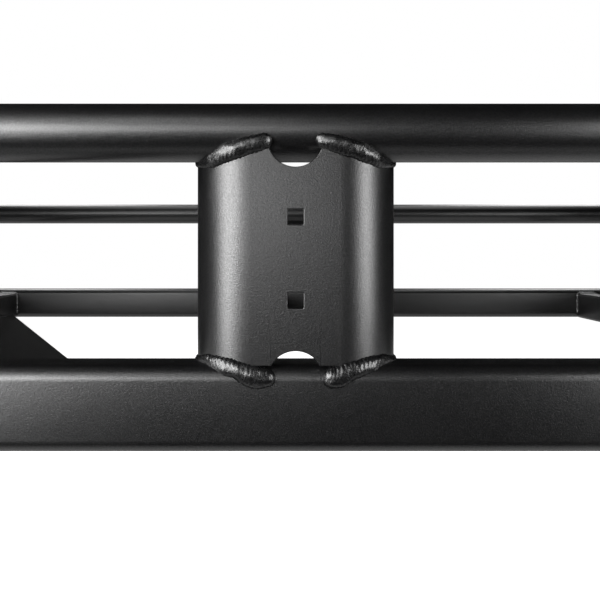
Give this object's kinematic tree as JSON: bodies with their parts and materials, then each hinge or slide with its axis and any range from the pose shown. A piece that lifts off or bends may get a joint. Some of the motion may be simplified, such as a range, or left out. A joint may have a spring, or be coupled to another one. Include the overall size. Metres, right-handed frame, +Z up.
{
  "type": "hitch luggage rack",
  "caption": "Folding vehicle luggage rack: a welded tube basket with a round top rail, hinged on a square hitch shank so that it folds up.",
  "frame": {"origin": "on the shank's axis at the middle of the hitch pin", "axes": "+Y along the shank towards the vehicle, +Z up, +X to the right seen from behind the vehicle"},
  "size_m": [1.216, 1.027, 0.2728],
  "materials": {
    "powder_coat": "satin black fine-texture powder coat",
    "zinc_plate": "bright zinc plating",
    "black_plastic": "moulded, fine grain",
    "brass": "turned",
    "spring_steel": "bright drawn wire"
  },
  "bodies": {
    "shank": {"shank": "powder_coat", "shank_plug": "black_plastic", "pivot_bolt": "zinc_plate", "pivot_nut": "zinc_plate", "pivot_washer_left": "zinc_plate", "pivot_washer_right": "zinc_plate", "pivot_sleeve": "zinc_plate", "lock_bolt": "zinc_plate", "lock_washer_left": "zinc_plate", "lock_washer_right": "zinc_plate", "lock_sleeve": "zinc_plate", "hitch_pin": "zinc_plate", "pin_clip": "spring_steel"},
    "basket": {"lower_rail_rear": "powder_coat", "lower_rail_front": "powder_coat", "upper_rail_rear": "powder_coat", "upper_rail_front": "powder_coat", "bracket_rear": "powder_coat", "bracket_front": "powder_coat", "bracket_left": "powder_coat", "bracket_right": "powder_coat", "lower_spigot_left": "zinc_plate", "lower_spigot_right": "zinc_plate", "upper_spigot_left": "zinc_plate", "upper_spigot_right": "zinc_plate", "floor_bar_left": "powder_coat", "floor_bar_right": "powder_coat", "floor_bar_outer_left": "powder_coat", "floor_bar_outer_right": "powder_coat", "diagonal_brace": "powder_coat", "hinge_lug_left": "powder_coat", "hinge_lug_right": "powder_coat"},
    "knob": {"lock_knob": "black_plastic", "knob_insert": "brass"}
  },
  "joints": [
    {"name": "basket_fold", "type": "hinge", "parent": "shank", "child": "basket", "pos_m": [0, -0.307, 0], "axis": [-1, 0, 0], "range_deg": [0, 90]},
    {"name": "knob_turn", "type": "hinge", "parent": "shank", "child": "knob", "pos_m": [0.045, -0.247, 0], "axis": [1, 0, 0], "range_deg": [0, 360]}
  ]
}
